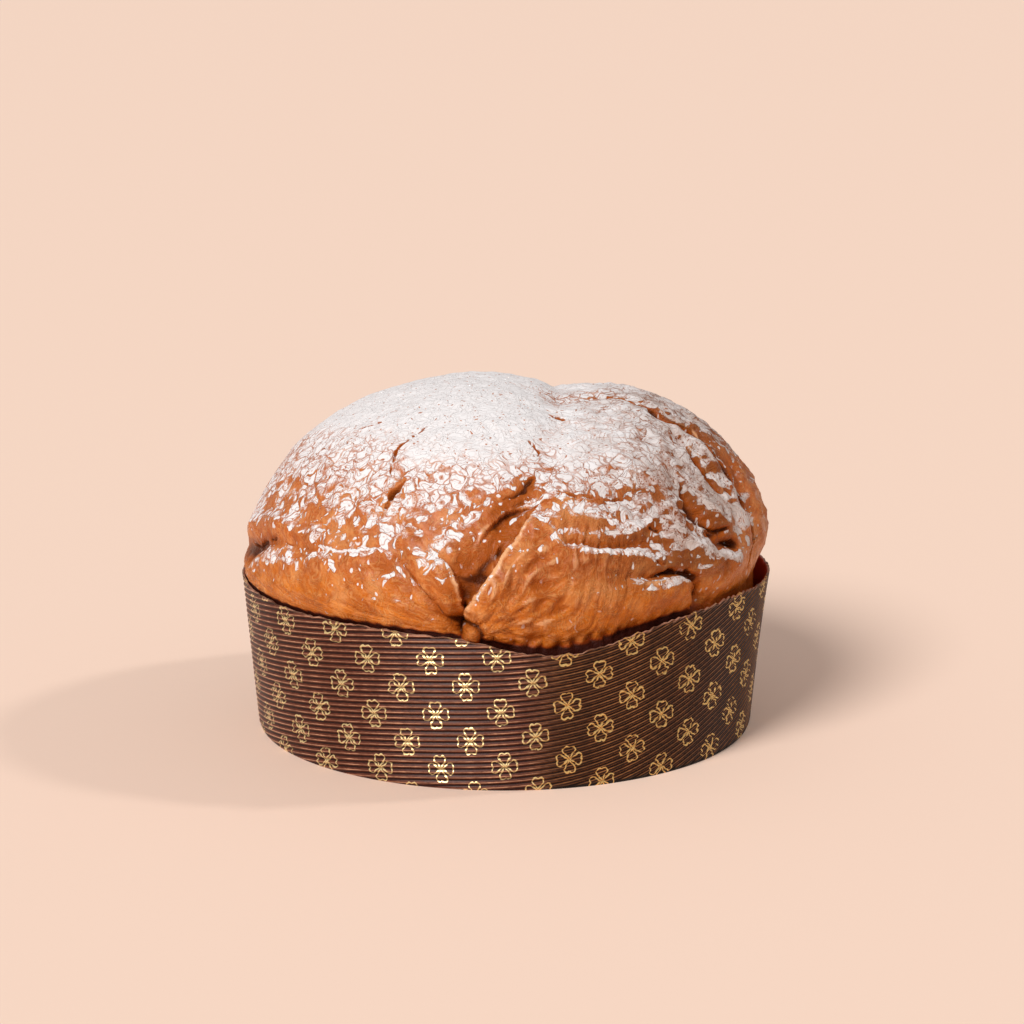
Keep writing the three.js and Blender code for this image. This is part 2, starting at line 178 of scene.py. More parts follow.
# Narrow cracks that open to the crumb: points of bearing, climb, half-width and depth.
CRACKS = dict(
    left_crack=[(-32.6, 59.4, 0.5, 0.5), (-33.4, 56.6, 0.7, 0.9), (-34.8, 53.6, 0.6, 0.8)],
    left_crack_2=[(-34.4, 52.6, 0.5, 0.6), (-35.2, 50, 0.8, 1.2), (-34.6, 46.6, 0.8, 1.2),
        (-33.4, 42, 0.5, 0.8), (-32.2, 39.4, 0.4, 0.4)],
    left_slot=[(-25.8, 39.4, 0.5, 0.6), (-27, 37.8, 1.2, 1.6), (-28.2, 35.2, 1.5, 2.6),
        (-28.7, 32, 1.5, 2.6), (-29.2, 29, 0.6, 0.8)],
    left_seam_line=[(-21, 11.1, 0.3, 0.4), (-19.4, 8.1, 0.5, 0.9), (-18, 5.1, 0.6, 1.1),
        (-16.4, 2.1, 0.4, 0.7), (-14.6, -1.1, 0.3, 0.5), (-11, -9.5, 0.4, 0.6), (-9.2, -12.4, 0.6, 1)],
    upper_left_line=[(-52.4, 58.6, 0.4, 0.5), (-56, 56, 0.6, 0.9), (-59.6, 53, 0.5, 0.7)],
    upper_left_line_2=[(-61.6, 49.8, 0.4, 0.5), (-65, 44.6, 0.5, 0.7), (-69, 39.6, 0.3, 0.3)],
    upper_left_line_3=[(-54, 47, 0.3, 0.4), (-59, 47.6, 0.4, 0.5), (-62.6, 46.4, 0.3, 0.3)],
    left_fold_line=[(-80, 4.6, 0.5, 0.8), (-74, 6.6, 0.8, 1.2), (-68, 10.4, 0.6, 1), (-61, 13, 0.5, 0.8),
        (-54, 12.8, 0.5, 0.6)],
    hooked_crack=[(9.6, 55.6, 0.6, 0.6), (11, 53.8, 1.1, 1.5), (11.6, 51.6, 0.8, 1.1), (10, 50, 0.3, 0.3)],
    crown_pit=[(29.4, 70.2, 0.9, 1), (30.6, 69.2, 1.5, 2), (32.6, 67.6, 1.2, 1.4)],
    crown_pit_2=[(59, 67, 0.5, 0.6), (61.6, 65.4, 0.6, 0.8)],
    dark_tear=[(8.4, 41.6, 0.6, 0.7), (6, 38.8, 1, 1.2), (3.6, 36, 0.9, 1), (0, 33.6, 0.5, 0.6)],
    dark_tear_2=[(9.4, 38, 0.4, 0.5), (5.4, 34, 0.8, 0.9), (2, 31.6, 0.5, 0.6)],
    cross_crack=[(13.4, 34.4, 0.4, 0.5), (17.6, 32.7, 0.6, 0.9), (21.6, 31.4, 0.5, 0.7)],
    cross_crack_2=[(24.6, 29.6, 0.4, 0.5), (27.2, 28.4, 0.6, 0.8), (29.8, 28.3, 0.4, 0.4)],
    right_split_line=[(86, 68, 0.8, 0.7), (81.6, 64.4, 1.4, 1.4), (79.6, 61.8, 0.6, 0.6)],
    right_split_line_2=[(79, 61, 0.8, 0.8), (76, 57.4, 1.6, 1.8), (73.6, 53.4, 1.3, 1.4),
        (73, 51, 0.6, 0.6)],
    right_split_line_3=[(74.4, 48.6, 1, 1), (76, 45, 1.4, 1.8), (75, 41.6, 1.1, 1.4), (73.2, 37.6, 1, 1.4)],
    ridge_gap=[(73, 33, 0.8, 1.2), (72.6, 28, 1.5, 2.6), (72, 24, 1.6, 2.8), (70.8, 18.6, 1, 1.6),
        (70, 14, 0.6, 0.8)],
    far_line=[(84, 33, 0.6, 0.8), (86, 28, 0.8, 1), (87, 21, 0.5, 0.5)],
    far_line_2=[(83, 14, 0.5, 0.7), (86, 8, 0.7, 0.9), (84, 3, 0.5, 0.5)],
    inner_hole=[(63.6, 21, 0.8, 1), (64.2, 18.6, 0.9, 1.2)],
    bowl_corner=[(46.6, 24.6, 1.2, 1.4), (46.2, 20.6, 1.6, 2.2), (46.4, 17, 1, 1.4)],
    bowl_floor_line=[(49.6, 12.2, 0.8, 1.2), (52.4, 9.8, 1, 1.6), (56, 10, 0.7, 1)],
    lower_bowl_corner=[(54.4, 4.8, 1, 1), (57, 3.4, 1.8, 2.4), (58.4, 2, 1, 1)],
    curl_hole=[(34.2, 17.2, 0.7, 0.8), (35.4, 15.6, 1.1, 1.6), (37, 15.6, 0.6, 0.6)],
    dark_spot=[(33.4, 6, 1, 1.2), (34.6, 4.4, 1, 1.2)],
    crevice=[(33, 0.4, 0.7, 0.8), (36.6, 0.4, 1.2, 1.8), (40.4, -0.6, 1.2, 1.8), (43.4, -3.6, 0.9, 1.2)],
    low_corner=[(44, -16.4, 1.4, 1.6), (45.2, -11, 1, 1.2), (45.6, -6, 0.5, 0.6)],
    rim_hole=[(61, 58, 0.4, 0.5), (62.4, 55.6, 0.5, 0.6)],
    back_crack=[(176, -10, 1, 1.2), (173, 6, 0.9, 1), (168, 20, 0.9, 1), (171, 36, 0.8, 0.9)],
    back_crack_2=[(-150, 52, 0.6, 0.8), (-146, 44, 0.8, 1.2), (-150, 36, 0.6, 0.8)],
    back_crack_3=[(120, 58, 0.6, 0.8), (126, 50, 0.8, 1.2), (122, 41, 0.6, 0.8)],
    back_crack_4=[(-118, 46, 0.5, 0.6), (-112, 40, 0.7, 1), (-116, 33, 0.5, 0.6)],
)

# Painted shade in hollows, slits, crevices and splits of the crust: points of bearing, climb, half-width
# and darkness.
SHADES = dict(
    bowl=[(47.6, 26, 2, 0.5), (46.6, 21.5, 3.4, 1.2), (46.6, 17.5, 3.6, 1.3), (49, 13, 3, 0.9)],
    slit=[(48.6, 9.2, 1.2, 0.8), (52.4, 9.6, 1.5, 1.3), (55.8, 10.2, 1.2, 0.9)],
    lower_bowl=[(51.4, 5.4, 1.6, 0.4), (54.6, 4.4, 2.4, 1), (57.4, 3.2, 2.8, 1.4)],
    under_flap=[(43, -3.6, 1.6, 0.8), (44.6, -8, 1.6, 0.6), (44, -15, 2, 0.8)],
    crevice=[(31, 0.6, 1, 0.4), (36, 0.3, 1.6, 1), (40.6, -0.8, 1.6, 1.1), (44, -4.2, 1.4, 1)],
    ridge_gap=[(74.6, 40, 1.4, 0.6), (73, 34, 2, 0.8), (72.6, 27, 2.6, 1.2), (71.4, 20, 2.2, 1),
        (70.4, 12, 1.6, 0.7), (69, 0, 1.4, 0.5)],
    inner_groove=[(61.6, 38, 1.6, 0.5), (60.8, 30, 2, 0.8), (61, 22, 1.6, 0.6)],
    upper_split=[(76.4, 57, 1.6, 0.7), (73.8, 51, 1.4, 0.6), (76, 45, 1.6, 0.8)],
    split_pocket=[(-9.4, 7.6, 1.2, 0.5), (-6.8, 7, 1.8, 0.9), (-4.2, 6.4, 1.8, 0.8)],
    split_foot=[(-8.6, -4, 1.2, 0.5), (-8.8, -9, 1.4, 0.9), (-8.9, -13, 1.6, 1.2)],
    split_shadow=[(-5, 10, 2.4, 0.7), (-2, 15, 2, 0.6), (0.6, 19, 1.6, 0.5)],
    hollow=[(3.4, 31.6, 2, 0.7), (-0.6, 29.6, 2.6, 1), (-2.6, 26, 2.4, 0.9), (-1.4, 22.6, 1.8, 0.5)],
    left_corner=[(-92, -1, 5, 0.6), (-84, 1.6, 4.4, 1), (-77, 3.6, 3.4, 1.1), (-70, 8.4, 2, 0.8),
        (-63, 12.6, 1.4, 0.5)],
    leaf_shadow=[(-14.4, -2, 1.4, 0.4), (-12, -7, 1.8, 0.8), (-10.2, -11.6, 1.6, 0.9)],
    ripple=[(15, 17, 1.2, 0.4), (21, 14.8, 1.4, 0.7), (27, 13, 1.5, 0.7), (32, 12, 1.6, 0.6)],
    curl=[(33.6, 17.4, 1, 0.8), (35.6, 16, 1.4, 1.1), (35, 14.4, 1, 0.7)],
    tears=[(8, 41, 1.4, 0.6), (5, 37, 1.8, 0.8), (1, 34, 1.2, 0.5)],
    back_split=[(176, -10, 3, 0.9), (175, 8, 4, 0.8), (168, 24, 3, 0.6)],
)

# Sugar caught along folds: points of bearing, climb, half-width and thickness.
SUGAR_SEAMS = dict(
    left_fold=[(-46, 13.8, 0.5, 1), (-42.4, 13.8, 0.7, 1.6), (-38, 13.4, 0.7, 1.5), (-34.8, 14, 0.5, 1.6),
        (-32, 15, 0.4, 1.6), (-28, 15.6, 0.3, 1.2)],
    left_roll=[(-72, 1, 2, 0.1), (-64, 6, 3, 0.45), (-56, 7.4, 3, 0.5), (-50, 7.6, 2.4, 0.3)],
    left_shoulder=[(-92, 16, 4, 0.5), (-84, 12, 4, 0.6), (-76, 15, 3, 0.3)],
    seam_beads=[(-20.4, 8.6, 0.6, 0.7), (-18.6, 4.6, 0.6, 0.9), (-17.4, 2, 0.5, 0.6)],
    seam_top=[(-28, 31, 1.6, 0.6), (-27.4, 25, 2, 0.7), (-26, 19, 1.8, 0.7)],
    ripple=[(13, 15.6, 1.4, 0.1), (18, 14, 1.6, 0.5), (23, 12.4, 1.8, 0.6), (28, 10.8, 1.8, 0.7),
        (31.6, 8.6, 1.4, 0.4)],
    hump=[(20, 18.6, 2.4, 0.2), (27, 18.4, 2.6, 0.6), (32.6, 19.4, 2.4, 0.7)],
    beads=[(28, -2, 1, 0), (33.6, -2.7, 1.2, 0.6), (38, -2.8, 1.2, 0.8), (42.6, -3.7, 1, 0.5)],
    flap=[(38, 13, 2.6, 0.5), (41, 10, 2.8, 0.7), (46, 7, 2.8, 0.6), (50, 4, 2, 0.5)],
    ledge=[(52.4, 1.6, 2.2, 0.7), (56, 0, 2.6, 0.9), (60, -4, 2, 0.6)],
    tongue=[(8, 33, 1.6, 0.9), (4, 29.4, 1.4, 1.2), (2, 26, 1.1, 1.1)],
    frayed_lip=[(-5, -4.6, 0.5, 0.2), (-4.4, 1.4, 0.6, 0.4), (-2.6, 5, 0.6, 0.4), (-1, 9.6, 0.5, 0.2)],
    far_lip=[(70.6, 8, 0.7, 0.6), (71.6, 20, 0.7, 0.8), (73.6, 34, 0.8, 0.8)],
)

# Climbs where the sugar thins out and where it covers everything, round the cake.
SUGAR_STARTS = [(-180, 20), (-140, 10), (-110, 4), (-88, 5), (-76, 13), (-64, 15), (-51, 15),
                (-40, 15), (-27, 14), (-15, 14), (-8, 17), (-1, 23), (9, 24), (18, 20), (27, 16),
                (33, 14), (43, 12), (51, 8), (63, 8), (71, 12), (77, 30), (92, 34), (106, 14),
                (130, 16), (180, 20)]
SUGAR_COVERS = [(-180, 52), (-140, 42), (-110, 34), (-92, 34), (-77, 43), (-62, 49), (-40, 47),
                (-28, 43), (-17, 43), (-6, 46), (4, 48), (15, 49), (24, 50), (34, 54), (46, 62),
                (58, 74), (67, 78), (77, 86), (92, 86), (110, 60), (140, 52), (180, 52)]


# ---- shapes worked out in numpy ----

def bell(x, width):
    return np.exp(-np.square(x / width))


def ease(x, low, high):
    t = np.clip((x - low) / (high - low), 0, 1)
    return t * t * (3 - 2 * t)


def near(bearing, spot):
    """1 at the spot's bearing, and less the farther round the cake."""
    turn = np.mod(bearing - spot["bearing"] + 180, 360) - 180
    return bell(turn, spot["width"])


def on_bearing(bearing, r, z):
    a = np.radians(bearing)
    return np.stack([r * np.sin(a), -r * np.cos(a), z], axis=-1)


def bearing_of(points):
    return np.degrees(np.arctan2(points[:, 0], -points[:, 1]))


def rim_height(bearing):
    return (CASE["height"] - RIM_DIP["drop"] * near(bearing, RIM_DIP)
            + RIM_LIFT["rise"] * near(bearing, RIM_LIFT))


def case_radius(bearing, z):
    slope = (CASE["rim_radius"] - CASE["base_radius"]) / CASE["height"]
    lean = RIM_DIP["lean"] * near(bearing, RIM_DIP) + RIM_FLARE["lean"] * near(bearing, RIM_FLARE)
    return CASE["base_radius"] + slope * z + lean * (z / CASE["height"]) ** 3


def crumb_radius(bearing, z):
    return case_radius(bearing, z) - CASE["paper"] - GAP


def waist_height(bearing):
    return LOAF["waist"] + LOAF["waist_rise"] * np.sin(np.radians(bearing))


def roll_size(bearing, name):
    """A size of the roll over the rim, which differs in front and on the right."""
    return (ROLL[name] + ROLL_FRONT[name] * near(bearing, ROLL_FRONT)
            + ROLL_RIGHT[name] * near(bearing, ROLL_RIGHT))


def leaving_height(bearing):
    """Height where the crust comes away from the paper."""
    return rim_height(bearing) - roll_size(bearing, "leaves")


def roll_radius(bearing, z):
    waist, leaves = waist_height(bearing), leaving_height(bearing)
    down = np.clip((waist - z) / np.minimum(ROLL["depth"], waist - leaves), 0, 1)
    free = LOAF["radius"] - roll_size(bearing, "tuck") * np.sin(down * math.pi / 2) ** 2
    blend = ease(z, leaves, leaves + 0.3 * (waist - leaves))
    return crumb_radius(bearing, leaves) * (1 - blend) + free * blend


def plain_points(bearing, climb):
    """The dome without splits or folds."""
    waist, rim = waist_height(bearing), rim_height(bearing)
    power = 2 / LOAF["roundness"]
    up = np.radians(np.clip(climb, 0, 90))
    lift = np.sin(up)
    r = (LOAF["radius"] * np.clip(np.cos(up), 0, 1) ** power
         - FLANK["lean"] * bell(climb - FLANK["climb"], FLANK["width"]))
    dome = on_bearing(bearing, r, waist + (LOAF["crown"] - waist) * lift ** power)
    for swell in CROWN_SWELLS:
        dome[..., 2] += swell["height"] * bell(dome[..., 0] - swell["x"], swell["width"]) * lift ** 2
    low = waist + (rim - waist) * climb / RIM_CLIMB
    skirt = on_bearing(bearing, roll_radius(bearing, low), low)
    return np.where((climb < 0)[..., None], skirt, dome)


def outward(points, bearing):
    rise = np.maximum(0, points[..., 2] - waist_height(bearing))
    n = np.stack([points[..., 0] / LOAF["radius"] ** 2, points[..., 1] / LOAF["radius"] ** 2,
                  rise / (LOAF["crown"] - LOAF["waist"]) ** 2], axis=-1)
    return n / np.linalg.norm(n, axis=-1, keepdims=True)


def noise_field(points, size, seed=0, stretch=(1, 1, 1)):
    """Smooth noise from -1 to 1 whose swells are about the given size."""
    scaled = points / (size * np.array(stretch)) + seed * 17.3
    return np.array([noise.noise(Vector(p)) for p in scaled.tolist()])


def swells(points, *kinds):
    """The sum of these kinds of noise."""
    return sum(height * noise_field(points, size, *rest) for size, height, *rest in kinds)


def wandered(plain):
    """The points moved about a little, so that strokes waver."""
    moved = plain
    for w in WANDERS:
        moved = moved + w["by"] * np.stack([noise_field(plain, w["size"], seed) for seed in w["seeds"]], 1)
    return moved


def smooth_path(points):
    """The stroke's points joined by a smooth curve over the plain dome."""
    table = np.array(points, dtype=float)
    places = plain_points(table[:, 0], table[:, 1])
    data = np.hstack([places, table[:, 2:]])
    data = np.vstack([2 * data[0] - data[1], data, 2 * data[-1] - data[-2]])
    path = []
    for i in range(1, len(data) - 2):
        a, b, c, d = data[i - 1:i + 3]
        for t in (0, 0.25, 0.5, 0.75):
            path.append(0.5 * (2 * b + (c - a) * t + (2 * a - 5 * b + 4 * c - d) * t * t
                               + (3 * b - a - 3 * c + d) * t ** 3))
    path.append(data[-2])
    return np.array(path)


class Stroke:
    """Where a set of surface points lies beside one stroke."""

    def __init__(self, points, crust, normals, reach):
        path = smooth_path(points)
        margin = reach * path[:, 3].max()
        low, high = path[:, :3].min(axis=0) - margin, path[:, :3].max(axis=0) + margin
        self.rows = np.nonzero(np.all((crust > low) & (crust < high), axis=1))[0]
        here, out = crust[self.rows], normals[self.rows]
        self.distance = np.full(len(here), np.inf)
        self.width, self.depth = np.ones(len(here)), np.zeros(len(here))
        self.side, self.across = np.zeros(len(here)), np.zeros((len(here), 3))
        for start, end in zip(path[:-1], path[1:]):
            line = end[:3] - start[:3]
            along = np.clip((here - start[:3]) @ line / (line @ line), 0, 1)
            offset = here - (start[:3] + along[:, None] * line)
            distance = np.linalg.norm(offset, axis=1)
            closer = distance < self.distance
            self.distance = np.where(closer, distance, self.distance)
            across = np.cross(line / np.linalg.norm(line), out)
            side = np.sum(offset * across, axis=1)
            self.width = np.where(closer, start[3] + along * (end[3] - start[3]), self.width)
            self.depth = np.where(closer, start[4] + along * (end[4] - start[4]), self.depth)
            self.side = np.where(closer, side, self.side)
            self.across = np.where(closer[:, None], across, self.across)


def strokes(table, crust, normals, reach=3):
    return [Stroke(points, crust, normals, reach) for points in table.values()]


# ---- meshes ----

def mesh_of(bm, name):
    mesh = bpy.data.meshes.new(name)
    bm.to_mesh(mesh)
    bm.free()
    return mesh


def points_of(mesh):
    points = np.empty(len(mesh.vertices) * 3)
    mesh.vertices.foreach_get("co", points)
    return points.reshape(-1, 3)


def paint(mesh, name, values):
    """Keeps a value for each point, which the finish reads by its name."""
    layer = mesh.attributes.new(name, "FLOAT", "POINT")
    layer.data.foreach_set("value", values)


def put(name, data):
    """Adds an object to the scene."""
    made = bpy.data.objects.new(name, data)
    bpy.context.collection.objects.link(made)
    return made


# ---- the crust ----

def row_climbs():
    """Climbs of the visible rows, evenly spaced over the surface from the crown to the rim."""
    climbs = np.linspace(90, RIM_CLIMB, 721)
    line = plain_points(np.zeros_like(climbs), climbs)
    length = np.concatenate([[0], np.cumsum(np.linalg.norm(np.diff(line, axis=0), axis=1))])
    return np.interp(np.linspace(0, length[-1], ROWS - HIDDEN_ROWS + 1), length, climbs)


def ball_places(ball):
    """Bearing, climb and row of points on the ball that the crust is shaped from."""
    bearing = bearing_of(ball)
    height = ball[:, 2] / np.linalg.norm(ball, axis=1)
    row = np.arccos(np.clip(height, -1, 1)) / math.pi * ROWS
    bearing[(row < 0.01) | (row > ROWS - 0.01)] = 0
    return bearing, np.interp(row, np.arange(ROWS - HIDDEN_ROWS + 1), row_climbs()), row


def refine(bm, reach, front):
    """Halves the mesh beside the torn edges and cracks, and over the front."""
    bm.verts.index_update()
    bearing, climb, _ = ball_places(np.array([vert.co for vert in bm.verts]))
    plain = plain_points(bearing, climb)
    fine = (np.abs(bearing - FINE_FRONT["bearing"]) < front) & (climb < FINE_FRONT["climb"])
    lines = {**CLIFFS, **CRACKS, "sugar line": SUGAR_SEAMS["left_fold"]}
    for s in strokes(lines, wandered(plain), outward(plain, bearing)):
        fine[s.rows[s.distance < reach + 0.4 * s.width]] = True
    edges = [e for e in bm.edges if fine[e.verts[0].index] and fine[e.verts[1].index]]
    bmesh.ops.subdivide_edges(bm, edges=edges, cuts=1, use_grid_fill=True)


def make_crust():
    bm = bmesh.new()
    bmesh.ops.create_uvsphere(bm, u_segments=ROUND, v_segments=ROWS, radius=1)
    for band in FINE_BANDS:
        refine(bm, **band)
    mesh = mesh_of(bm, "crust")
    bearing, climb, row = ball_places(points_of(mesh))
    plain = plain_points(bearing, climb)
    normals = outward(plain, bearing)
    grain = grain_places(plain, bearing, climb)
    relief, shift, painted_shading = crust_relief(plain, normals, grain)
    placed = plain + normals * relief[:, None] + shift
    placed = keep_in_case(placed, bearing, climb, nub_bulge(plain)[0] + np.maximum(0, rim_puffs(plain)[0]))
    hidden = row > ROWS - HIDDEN_ROWS + 0.01
    placed[hidden] = hidden_points(bearing[hidden], row[hidden])
    mesh.vertices.foreach_set("co", (placed * MM).ravel())
    mesh.update()
    mesh.shade_smooth()
    paint_dusting(mesh, plain, bearing, climb, painted_shading)
    layer = mesh.attributes.new("grain", "FLOAT_VECTOR", "POINT")
    layer.data.foreach_set("vector", np.stack([*grain, 0 * grain[0]], axis=1).ravel())
    return put("crust", mesh)


def keep_in_case(points, bearing, climb, spilt):
    """Level with the rim and under it, the crust stays inside the paper unless it has spilt."""
    rim = rim_height(bearing)
    over = points[:, 2] - rim
    limit = crumb_radius(bearing, np.minimum(points[:, 2], rim))
    limit = limit + np.maximum(0, over - GAP) * 1.2 + 1.4 * spilt * ease(over, -0.6, 2.6)
    r = np.hypot(points[:, 0], points[:, 1])
    pull = np.where(climb < 0, np.minimum(1, limit / np.maximum(r, 1)), 1)
    points[:, :2] *= pull[:, None]
    return points


def hidden_points(bearing, row):
    """The side behind the paper and the underside."""
    under = CASE["paper"] + GAP
    down = (row - (ROWS - HIDDEN_ROWS)) / (HIDDEN_ROWS - UNDER_ROWS)
    z = np.clip(leaving_height(bearing) * (1 - down) + under * down, under, None)
    r = crumb_radius(bearing, z) * np.clip((ROWS - row) / (UNDER_ROWS - 0.5), 0, 1)
    return on_bearing(bearing, r, z)


def nub_bulge(plain):
    """The blob of dough that spilt over the rim: how far it bulges, and the painted shade in the crease
    round its edge.
    """
    middle = on_bearing(NUB["bearing"], crumb_radius(NUB["bearing"], NUB["height"]), NUB["height"])
    away = np.linalg.norm(plain - middle, axis=1) / NUB["radius"]
    bulge = NUB["bulge"] * np.sqrt(np.clip(1 - away ** 2, 0, 1))
    return bulge, bell(away - NUB["edge"], NUB["edge_width"])


def rim_puffs(plain):
    """Small puffs side by side over the rim: their height, and the painted shade in the gaps between them.
    """
    bearing = bearing_of(plain)
    over = plain[:, 2] - rim_height(bearing)
    swing = bearing + 1.2 * noise_field(plain, 9, 61)
    puff = np.abs(np.cos(math.pi * swing / PUFFS["every"]))
    here = near(bearing, PUFFS)
    return (PUFFS["height"] * (puff - 0.4) * here * bell(over - PUFFS["over"], PUFFS["reach"]),
            (1 - ease(puff, 0, 0.5)) * here * bell(over - 1.6, 2.4))


def crust_relief(plain, normals, grain):
    """How far the crust stands out, how far it is dragged sideways, and its painted shade and highlight."""
    asked = wandered(plain)
    x, y, z = plain.T / LUMPS["pitch"]
    relief = LUMPS["height"] * (np.sin(x + np.sin(y)) * np.sin(y + z) + np.sin(z - x))
    shift = np.zeros_like(plain)
    painted_shading = np.zeros(len(plain))
    for s in strokes(VALLEYS, asked, normals):
        pressed = s.depth * bell(s.distance, s.width)
        relief[s.rows] -= pressed
        # Painted shade: the deeper the valley, the darker the crust.
        painted_shading[s.rows] += np.maximum(0, pressed - 0.3) * SHADING["valley"]
    for s in strokes(CLIFFS, asked, normals):
        edge = s.distance * np.sign(s.side)
        dropped = s.depth * bell(edge, s.width) * (1 - ease(edge, -0.8, 0.1))
        relief[s.rows] -= dropped
        hang = np.minimum(1.6, 0.4 * s.depth) * bell(edge - 0.6, 1.5)
        shift[s.rows] -= s.across * hang[:, None]
        # Painted shade below the torn edge, and a painted highlight along its lip.
        painted_shading[s.rows] += dropped * SHADING["cliff"]
        painted_shading[s.rows] -= np.minimum(1, s.depth / 3) * bell(edge - 0.7, 0.9)
    ragged = 1 + 0.8 * noise_field(plain, 3.4, 14)
    for s in strokes(CRACKS, asked, normals, reach=5):
        wide = s.width * ragged[s.rows]
        relief[s.rows] -= s.depth * (1 - ease(s.distance, 0, 1.2 * wide))
        relief[s.rows] += 0.2 * np.minimum(s.depth, 1.6) * bell(s.distance - 1.9 * wide, 0.9 * wide)
        # Painted shade inside the crack.
        painted_shading[s.rows] += (0.3 + 0.25 * s.depth) * (1 - ease(s.distance, 0.6 * wide, 1.15 * wide))
    # Painted shade in the hollows and splits listed in SHADES.
    for s in strokes(SHADES, asked, normals):
        painted_shading[s.rows] += s.depth * bell(s.distance, s.width)
    # crest holds the painted highlight on the fold crests and the painted shade between the folds.
    texture, crest = dough_texture(plain, grain)
    puffs, gap_shade = rim_puffs(plain)
    spilt, edge = nub_bulge(plain)
    # Painted shade in the low places of the texture and in the gaps between the puffs, and a painted
    # highlight on the fold crests.
    painted_shading += np.maximum(0, -0.25 - texture) * 0.3 - crest + 0.9 * gap_shade
    # The spilt nub takes one even, slightly darker tone, with painted shade in the crease round its edge.
    painted_shading = np.where(spilt > 0, 0.25, painted_shading) + 1.5 * edge
    return relief + texture + puffs + spilt, shift, painted_shading


def grain_places(plain, bearing, climb):
    """Across and along the grain of the dough, in millimetres: it fans out from the front split
    on the right of it and falls towards it on the left."""
    s = np.where(bearing > GRAIN["back"], bearing - 360, bearing) * GRAIN["per_degree"][0]
    t = climb * GRAIN["per_degree"][1]
    split = -14 - 0.1 * t
    left = grain_left(s, t) + np.where(s < split, 1, 0) * (grain_right(split, t) - grain_left(split, t))
    across, along = np.where(s < split, left, grain_right(s, t))
    return across + swells(plain, *SWIRLS), along


def grain_left(s, t):
    x, y = GRAIN["left"]
    return np.stack([s * x + t * y, s * y - t * x])


def grain_right(s, t):
    across, up = s - GRAIN["fan"][0], t - GRAIN["fan"][1]
    fan = np.stack([GRAIN["spread"] * np.arctan2(up, across), np.hypot(up, across)])
    x, y = GRAIN["right"]
    upright = np.stack([s * x + t * y, s * y - t * x])
    return fan + (upright - fan) * ease(s, *GRAIN["upright"])


def dough_texture(plain, grain):
    """Blisters, folds and wrinkles of the crust, and the painted highlight on the crests of the folds and
    painted shade between them.
    """
    x, y, z = plain.T
    streaky = np.stack([*grain, 0 * x], axis=1)
    side, top, right = 1 - ease(z, 96, 122), ease(z, 104, 128), ease(x, 10, 55)
    front = bell(x - 12, 30) * (y < 0) * side
    crest = swells(streaky, FOLDS) * (1 - top)
    texture = swells(plain, *BLISTERS) + (0.5 + 1.2 * front) * crest
    texture += top * swells(plain, CROWN_FOLDS)
    texture += side * swells(streaky, SWEEPS)
    texture += (1 - top) * swells(streaky, WRINKLES)
    texture += 0.26 * right * ease(z, 66, 84) * (1 - 2.2 * np.abs(swells(plain, BANDS)))
    for hill in HILLS:
        ridged = hill["level"] - np.abs(swells(plain, hill["swell"]))
        texture += hill["by"] * right * ease(z, 84, 96) * ridged
    # Painted highlight on the fold crests and painted shade between them, strongest over the front.
    light = (0.6 * ease(crest, 0.12, 0.5) - 0.3 * ease(-crest, 0.05, 0.4)) * side * (0.15 + 0.7 * front)
    return texture, light


def paint_dusting(mesh, plain, bearing, climb, painted_shading):
    """How thickly the sugar lies at every point, its painted shade and highlight, and the band over the rim
    that is painted shade and darker baked crust.
    """
    normal = np.empty(len(mesh.vertices) * 3)
    mesh.vertex_normals.foreach_get("vector", normal)
    facing_up = normal.reshape(-1, 3)[:, 2]
    smooth = outward(plain, bearing)
    starts = np.interp(bearing, *zip(*SUGAR_STARTS))
    covers = np.interp(bearing, *zip(*SUGAR_COVERS))
    above = climb - starts + swells(plain, *SUGAR_PATCHES)
    dusting = np.where(above > 0, above / (covers - starts), above / 14)
    dusting += 1.5 * (facing_up - smooth[:, 2])
    for s in strokes(SUGAR_SEAMS, wandered(plain), smooth):
        caught = bell(s.distance, s.width)
        dusting[s.rows] += caught * (s.depth + np.maximum(0, -dusting[s.rows]))
    # Less sugar where the painted shade is dark.
    dusting -= 1.3 * np.clip(painted_shading, 0, 0.45) + 2.2 * np.clip(painted_shading - 0.45, 0, 0.8)
    # Painted shade under the roll where it hangs over the rim, together with crust baked darker against the
    # paper.
    over = plain[:, 2] - rim_height(bearing)
    flutes = np.cos(np.radians(bearing) * 95 + 3 * noise_field(plain, 12, 23))
    band = 0.5 + 1.5 * bell(bearing - 21, 20) + 0.3 * noise_field(plain, 6, 22) + 0.3 * flutes
    rim_shade_and_bake = (1 - ease(over, 0.4 * band, 1.5 * band + 0.9)) * (1 - 0.6 * ease(bearing, 38, 50))
    rim_shade_and_bake *= 1 - 0.75 * ease(nub_bulge(plain)[0], 0, 2)
    paint(mesh, "dusting", np.clip(dusting, -1.5, 2.5))
    paint(mesh, "painted_shading", np.clip(painted_shading, -1, 1.5))
    paint(mesh, "rim_shade_and_bake", rim_shade_and_bake)


# ---- the paper case ----

def rib_climb(bearing):
    """Ribs climbed from the back to this bearing."""
    turn, step = np.linspace(-180, 180, 1441, retstep=True)
    slope = sum(each["climb"] * near(turn, each) for each in RIB_SLOPES)
    slope += RIB["per_turn"] * RIB["pitch"] / 360 - slope[:-1].mean()
    climbed = np.concatenate([[0], np.cumsum((slope[1:] + slope[:-1]) / 2 * step)])
    return np.interp(bearing, turn, climbed / climbed[-1] * RIB["per_turn"])


